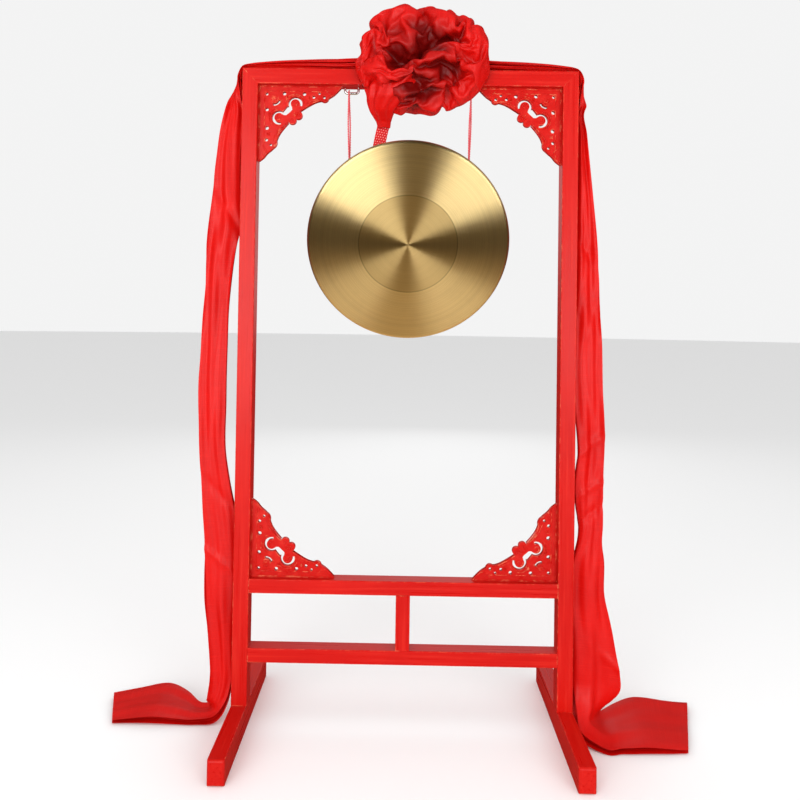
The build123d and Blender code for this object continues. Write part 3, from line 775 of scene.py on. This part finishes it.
def rosette_point(latitude, angle):
    """A point of the ball: latitude runs along the rail, and angle round it."""
    share = sin(latitude) / sin(MOUTH_LATITUDE)
    body = cos(latitude) ** 0.85
    mouth = abs(share) ** 6
    out = np.array((0, -cos(angle), sin(angle)))
    round_rail = RAIL_MIDDLE + np.array((0, *(out[1:] * MOUTH_SIZE)))
    x = ROSETTE_AT[0] + ROSETTE_SIZE[0] * ROSETTE_FILL * share
    size = np.array((ROSETTE_SIZE[1], ROSETTE_SIZE[2])) * body
    ball = ROSETTE_AT[1:] + out[1:] * size
    inside = 1 - ((x - PUFF_AT[0]) / PUFF_SIZE[0]) ** 2
    if inside > 0 and out[2] < 0.3:
        puff = PUFF_AT[1:] + out[1:] * PUFF_SIZE[1:] * sqrt(inside)
        if (puff[1] - ball[1]) * out[2] > 0:
            ball = ball + (puff - ball) * min(1.0, 4 * inside)
    around = ball * (1 - mouth) + round_rail[1:] * mouth
    return np.array((x, *around))


def even_ring(ring):
    """The same ring with its points an even step apart."""
    ring = np.array(ring)
    reached = np.concatenate(([0.0], np.cumsum(np.linalg.norm(np.diff(ring, axis=0), axis=1))))
    wanted = np.linspace(0, reached[-1], len(ring))
    return np.stack([np.interp(wanted, reached, ring[:, axis]) for axis in range(3)], 1)


def rosette(cloth):
    """A ball of gathered silk, blown out between the tacks that draw it in, by cloth simulation."""
    around_count, along_count = ROSETTE_GRID
    latitudes = np.linspace(-MOUTH_LATITUDE, MOUTH_LATITUDE, along_count)
    angles = np.linspace(-pi, pi, around_count)
    start = np.array([even_ring([rosette_point(lat, a) for a in angles]) for lat in latitudes])
    axis = np.stack([start[:, :, 0], np.full(start.shape[:2], ROSETTE_AT[1] * 0.5),
                     np.full(start.shape[:2], 1.172)], -1)
    pinned = np.zeros(start.shape[:2])
    pulled = np.zeros(start.shape[:2])
    pinned[0] = pinned[-1] = 1
    pinned[:, 0] = pinned[:, -1] = 1
    for x, angle, depth in tacks():
        share = np.clip((x * MM - ROSETTE_AT[0]) / (ROSETTE_SIZE[0] * ROSETTE_FILL), -0.93, 0.93)
        spot = rosette_point(asin(share * sin(MOUTH_LATITUDE)), radians(angle))
        away = np.linalg.norm(start - spot, axis=2)
        pinned[away < max(3.5 * MM, away.min() * 1.01)] = 1
        pulled = np.maximum(pulled, (1 - depth) * np.exp(-(away / (13 * MM)) ** 2))
    drawn = axis + (start - axis) * (1 - pulled)[:, :, None]
    wobble = np.array([[noise.noise(Vector(point) * 45) for point in row] for row in start])
    centre = start.reshape(-1, 3).mean(0)
    loose = centre + (start - centre) * (SLACK + 0.03 * wobble)[:, :, None]
    mesh = grid_mesh("rosette_silk", loose, uv_size=ROSETTE_FLAT)
    piece = add_object("rosette_silk", mesh, cloth)
    draw_in(piece, drawn, pinned)
    smooth = piece.modifiers.new("fine", "SUBSURF")
    smooth.levels = smooth.render_levels = 1
    applied(piece)
    piece.data.polygons.foreach_set("use_smooth", [True] * len(piece.data.polygons))
    # Painted shade: how deep each point lies in a tuck, which darkens the silk there.
    mark_tuck_shade(piece.data)
    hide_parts("rosette", "rosette_tie")
    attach(piece, "stand")


def draw_in(piece, drawn, pinned):
    """Pulls a loose ball's tacks in to their places, so that the cloth between them puffs and crumples."""
    last, reached = 28, 18
    piece.shape_key_add(name="Basis")
    target = piece.shape_key_add(name="drawn")
    target.data.foreach_set("co", drawn.reshape(-1))
    for frame_number, value in ((1, 0.0), (reached, 1.0)):
        target.value = value
        target.keyframe_insert("value", frame=frame_number)
    group = piece.vertex_groups.new(name="tacked")
    group.add([int(index) for index in np.flatnonzero(pinned.reshape(-1) > 0)], 1.0, "REPLACE")
    cloth = piece.modifiers.new("cloth", "CLOTH")
    settings = cloth.settings
    settings.vertex_group_mass = "tacked"
    settings.quality = 5
    settings.mass = 0.06
    settings.tension_stiffness = settings.compression_stiffness = 15
    settings.shear_stiffness = 5
    settings.bending_stiffness = 0.12
    settings.air_damping = 2
    settings.use_pressure = True
    settings.uniform_pressure_force = PRESSURE
    settings.effector_weights.gravity = 0
    cloth.collision_settings.use_self_collision = True
    cloth.collision_settings.self_distance_min = 0.0016
    cloth.point_cache.frame_start, cloth.point_cache.frame_end = 1, last
    scene.frame_start, scene.frame_end = 1, last
    for frame_number in range(1, last + 1):
        scene.frame_set(frame_number)
    seen = piece.evaluated_get(bpy.context.evaluated_depsgraph_get())
    settled = bpy.data.meshes.new_from_object(seen)
    piece.modifiers.clear()
    piece.data.shape_keys.animation_data_clear()
    piece.shape_key_clear()
    piece.data = settled
    scene.frame_set(1)
    hold_in(settled)


def share_out(place):
    """How far out of the ball's middle a place lies: 1 is on its outline."""
    in_ball = np.linalg.norm((place - ROSETTE_AT) / ROSETTE_SIZE)
    in_puff = np.linalg.norm((place - PUFF_AT) / PUFF_SIZE)
    return min(in_ball, in_puff)


def mark_tuck_shade(mesh):
    """Stores how deep each point is tucked in; painted shade makes the silk darker there."""
    layer = mesh.attributes.new("tucked", "FLOAT", "POINT")
    out = np.array([share_out(np.array(vertex.co)) for vertex in mesh.vertices])
    layer.data.foreach_set("value", np.clip((TUCK_SHADE_FROM - out) / (TUCK_SHADE_FROM - TUCK_SHADE_TO), 0, 1) ** 1.3)


def hold_in(mesh):
    """Draws the points that lie past the ball's outline most of the way back to it."""
    for vertex in mesh.vertices:
        place = np.array(vertex.co)
        in_ball = np.linalg.norm((place - ROSETTE_AT) / ROSETTE_SIZE)
        in_puff = np.linalg.norm((place - PUFF_AT) / PUFF_SIZE)
        over = min(in_ball, in_puff)
        if over > 1.0:
            centre = ROSETTE_AT if in_ball <= in_puff else PUFF_AT
            vertex.co = Vector(centre + (place - centre) * (1.0 + 0.25 * (over - 1.0)) / over)


# ---------------------------------------------------------------- silk lobe and woven tail
LOBE_ROWS, LOBE_COLUMNS = 48, 120
TAIL_W = 22 * MM
TAIL_T = 1.6 * MM
TAIL_Y = 9 * MM
TAIL_ROUTE = ((-0.0380, 1.1120), (-0.0490, 1.0700), (-0.0575, 1.0250), (-0.0600, 0.9800), (-0.0610, 0.9300))
DOT_PITCH = 4.4 * MM


def silk_lobe(cloth):
    """The end of the rosette's silk, gathered into the band."""
    stations = np.array([(-22, -18, 1152, 42, 30), (-34, -22, 1134, 40, 31), (-42, -20, 1114, 33, 25),
                         (-49, -10, 1095, 22, 15), (-47, 4, 1080, 13, 6.5), (-46, 8, 1070, 11, 4)]) * MM
    t = np.linspace(0, len(stations) - 1, LOBE_ROWS)
    rows = np.stack([np.interp(t, range(len(stations)), stations[:, k]) for k in range(5)], 1)
    points = np.zeros((LOBE_ROWS, LOBE_COLUMNS, 3))
    for number, (x, y, z, wide, deep) in enumerate(rows):
        down = number / (LOBE_ROWS - 1)
        for column in range(LOBE_COLUMNS):
            angle = 2 * pi * column / LOBE_COLUMNS
            pleat = 0.10 * sin(9 * angle + 2.0 * drift(down * 2, 4)) + 0.07 * sin(5 * angle - 3 * down)
            pleat += 0.10 * noise.noise(Vector((3 * cos(angle), 3 * sin(angle), 5 * down)))
            grown = 1 + pleat * (1.15 - 0.75 * down)
            points[number, column] = (x + wide * grown * cos(angle), y + deep * grown * sin(angle), z)
    mesh = grid_mesh("rosette_lobe", points, closed_across=True, uv_size=(0.2, 0.1))
    piece = add_object("rosette_lobe", mesh, cloth)
    piece.modifiers.new("soften", "SMOOTH").iterations = 4
    applied(piece)
    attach(piece, "stand")


def woven():
    """A red knitted band with rows of small pale dots."""
    knit = Shader("woven_tie", Roughness=0.7, Sheen_Weight=0.2, Specular_IOR_Level=0.2)
    where = knit.node("UVMap", uv_map="weave").outputs["UV"]
    split = knit.node("SeparateXYZ", {"Vector": where})
    across = knit.math("DIVIDE", split.outputs["X"], DOT_PITCH)
    along = knit.math("DIVIDE", split.outputs["Y"], DOT_PITCH)
    shift = knit.math("MULTIPLY", knit.math("MODULO", knit.math("FLOOR", along), 2.0), 0.5)
    in_x = knit.math("SUBTRACT", knit.math("FRACT", knit.math("ADD", across, shift)), 0.5)
    in_y = knit.math("SUBTRACT", knit.math("FRACT", along), 0.5)
    squares = knit.math("ADD", knit.math("MULTIPLY", in_x, in_x), knit.math("MULTIPLY", in_y, in_y))
    far = knit.math("SQRT", squares)
    dot = knit.span(far, 0.24, 0.15)
    fibres = knit.noise(scale=900, detail=3)
    body = knit.ramp(fibres, (0.3, (0.50, 0.004, 0.006)), (0.7, (0.68, 0.010, 0.012)))
    knit.set("Base Color", knit.mix(dot, body, (0.85, 0.36, 0.33, 1)))
    knit.bump(fibres, 0.4, 0.0004)
    return knit.material


def tail(knit):
    """The band that hangs from the rosette behind the gong's rim: knitted ribs and raised dots."""
    path = resampled(route_of([(x, TAIL_Y + TAIL_T / 2, z) for x, z in TAIL_ROUTE]), 0.5 * MM)
    tangents = np.gradient(path, axis=0)
    tangents /= np.linalg.norm(tangents, axis=1)[:, None]
    level = np.stack([tangents[:, 2], np.zeros(len(path)), -tangents[:, 0]], 1)
    columns = 48
    section = []
    for face in (-1, 1):
        for k in range(columns):
            section.append((face * (2 * k / (columns - 1) - 1), face))
    points = np.zeros((len(path), len(section), 3))
    uvs = np.zeros((len(path), len(section), 2))
    for number, centre in enumerate(path):
        along = 0.5 * MM * number
        for column, (share, face) in enumerate(section):
            across = share * TAIL_W / 2
            edge = sqrt(max(0.0, 1 - abs(share) ** 8))
            rib = 0.16 * MM * sin(2 * pi * along / (1.1 * MM)) * sin(2 * pi * across / (1.1 * MM))
            row = int(along / DOT_PITCH)
            in_x = ((across / DOT_PITCH + 0.5 * (row % 2) + 100) % 1) - 0.5
            in_y = (along / DOT_PITCH) % 1 - 0.5
            raised = 0.35 * MM * max(0.0, 1 - (in_x ** 2 + in_y ** 2) / 0.04)
            cup = 1.2 * MM * share ** 2
            out = face * (0.62 * TAIL_T / 2 * edge + 0.05 * MM) + face * (rib + raised) * edge
            points[number, column] = centre + level[number] * across + np.array((0, out + cup, 0))
            uvs[number, column] = (across + 100 * DOT_PITCH, along)
    mesh = grid_mesh("woven_tail", points, closed_across=True)
    layer = mesh.uv_layers["weave"]
    flat = np.array([uvs.reshape(-1, 2)[loop.vertex_index] for loop in mesh.loops])
    layer.data.foreach_set("uv", flat.reshape(-1))
    piece = add_object("woven_tail", mesh, knit)
    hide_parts("tie_tail")
    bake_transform(piece)


# ---------------------------------------------------------------- carving on the corner brackets
INNER_X = 272 * MM
RAIL_Z = 1142 * MM
PANEL_RAIL_TOP = 263 * MM
BRACKET_FACE = 4 * MM
VOLUTES = (((66.0, 33.0), 130, 250), ((37.0, 58.0), -42, -245))
BLOSSOMS = ((67, 53, 5.0, 5, 20), (27, 23, 5.0, 6, 0), (121, 25.8, 1.8, 4, 40), (28.6, 110, 2.2, 4, 10),
            (91, 22, 3.0, 4, 0), (18, 88, 3.2, 4, 45), (51, 22, 2.6, 5, 0), (20, 51, 2.8, 5, 30))


def arc(centre, radius, start, turn, count=28, spiral=0.0):
    """Points along an arc, in degrees, that closes in by spiral from its start to its end."""
    return [(centre[0] + (radius - spiral * k / (count - 1)) * cos(radians(start + turn * k / (count - 1))),
             centre[1] + (radius - spiral * k / (count - 1)) * sin(radians(start + turn * k / (count - 1))))
            for k in range(count)]


def carved_lines():
    """The bracket's beads, as (points along the rail and post, radius, taper)."""
    lines = []
    for inset, radius in ((2.2, 0.8), (10.6, 0.7)):
        lines.append(([(inset, 136 - inset), (inset, inset), (148 - 1.6 * inset, inset)], radius, 0))
    post_edge = [(1.6, 136.5), (10, 131), (15.5, 122.5), (26, 114.5), (32, 106), (33, 97), (40, 82),
                 (54, 66.5)]
    lines.append((post_edge, 1.1, 0))
    rail_edge = [(148.5, 1.4), (136.5, 15), (126, 21), (119.5, 27.5), (111.5, 25.5), (95, 31.5), (75, 45)]
    lines.append((rail_edge, 1.1, 0))
    for (u, v), start, turn in VOLUTES:
        lines.append((arc((u, v), 14.4, start + 0.22 * turn, turn * 0.78), 1.5, 1))
        lines.append((arc((u, v), 17.6, start + 0.24 * turn, turn * 0.6), 0.9, 1))
        lines.append((arc((u, v), 6.5, start + 0.15 * turn, turn * 1.15, spiral=4.0), 1.6, 1))
    lines.append((arc((27, 23), 15.4, 8, 80), 1.1, 1))
    lines.append((arc((27, 23), 7.9, -20, 140), 0.9, 1))
    lines.append((arc((131, 3), 12.0, 75, 90), 0.9, 1))
    lines.append((arc((3, 121), 12.0, -75, 90), 0.9, 1))
    lines.append(([(83, 34), (92, 28.5), (103, 25.5), (111, 24)], 1.2, 1))
    lines.append(([(40, 77), (33, 86), (28, 95), (26.5, 101)], 1.2, 1))
    lines.append(([(75, 47), (72, 51), (75, 55)], 1.1, 1))
    lines.append(([(56, 63), (60, 60), (63, 64)], 1.1, 1))
    return lines


def bead(points, radius, taper, place):
    """A raised half-round line on a bracket's face."""
    flat = np.array([(u, v, 0.0) for u, v in points]) * MM
    if len(points) > 3:
        flat = route_of([tuple(point) for point in flat])
    line = resampled(flat, 1.1 * MM)
    tangents = frames_along(line)[0]
    level = np.stack([-tangents[:, 1], tangents[:, 0], np.zeros(len(line))], 1)
    share = np.linspace(-1, 1, len(line))
    size = radius * MM * (1 - taper * 0.75 * share ** 4)
    across = [(cos(pi * k / 6), sin(pi * k / 6)) for k in range(7)]
    raised = np.array((0, 0, 1.0))
    rows = np.stack([line + level * (size * a)[:, None] + raised * (size * 1.15 * b - 0.15 * MM)[:, None]
                     for a, b in across], 1)
    return grid_mesh("bead", place(rows))


def petal(u, v, length, angle, place):
    """A raised petal that points away from a blossom's middle."""
    rows = []
    for k in range(9):
        t = k / 8
        wide = 0.42 * length * sin(pi * min(1.0, 0.08 + 0.92 * t)) ** 0.8
        row = []
        for j in range(7):
            side = -1 + j / 3
            forward = 0.15 * length + length * t
            x = u + forward * cos(angle) - side * wide * sin(angle)
            y = v + forward * sin(angle) + side * wide * cos(angle)
            row.append((x * MM, y * MM, (1.5 * (1 - side ** 2) * sin(pi * (0.1 + 0.8 * t)) - 0.1) * MM))
        rows.append(row)
    return grid_mesh("petal", place(np.array(rows)))


def carving(name, side, top, paint):
    """The relief on both faces of one bracket."""
    def placed(face):
        def place(rows):
            rows = np.asarray(rows)
            x = side * (INNER_X - rows[..., 0])
            z = RAIL_Z - rows[..., 1] if top else PANEL_RAIL_TOP + rows[..., 1]
            return np.stack([x, face * (BRACKET_FACE + rows[..., 2]), z], -1)
        return place

    meshes = []
    for face in (-1, 1):
        place = placed(face)
        meshes += [bead(points, radius, taper, place) for points, radius, taper in carved_lines()]
        for u, v, length, petals, turn in BLOSSOMS:
            for k in range(petals):
                meshes.append(petal(u, v, length, 2 * pi * k / petals + radians(turn), place))
    piece = add_object(name, joined(name, meshes), paint)
    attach(piece, "stand")



# ---------------------------------------------------------------- wood and wire that keep their CAD shape
def paint_cad():
    """Gives every CAD piece that shows its own finish."""
    carved = lacquer("red_lacquer_carved", (60, 60, 60))
    for name in ("bracket_top_left", "bracket_top_right", "bracket_bottom_left", "bracket_bottom_right"):
        side = 1 if name.endswith("right") else -1
        carving(name.replace("bracket", "carving"), side, "top" in name, carved)
    upright = lacquer("red_lacquer_upright", (190, 190, 5))
    level = lacquer("red_lacquer_level", (5, 190, 190))
    deep = lacquer("red_lacquer_deep", (190, 5, 190))
    chrome, steel, wood = wire(), screw_steel(), beech()
    finish = {
        upright: ("left_post", "right_post", "centre_strut"),
        level: ("top_rail", "panel_rail", "lower_rail"),
        carved: ("bracket_top_left", "bracket_top_right", "bracket_bottom_left", "bracket_bottom_right"),
        deep: ("left_foot", "right_foot"),
        chrome: ("left_hook", "right_hook"),
        steel: ("foot_screws",),
        wood: ("mitre_dowels", "bracket_pins"),
    }
    for material, names in finish.items():
        for name in names:
            mesh = nodes[name].data
            mesh.materials.clear()
            mesh.materials.append(material)


camera()
studio()
floor()
cords()
gong()
paint_cad()
red_silk = silk("red_silk")
for side, hand in SIDES:
    sash(side, hand, red_silk)
rosette(red_silk)
silk_lobe(red_silk)
tail(woven())
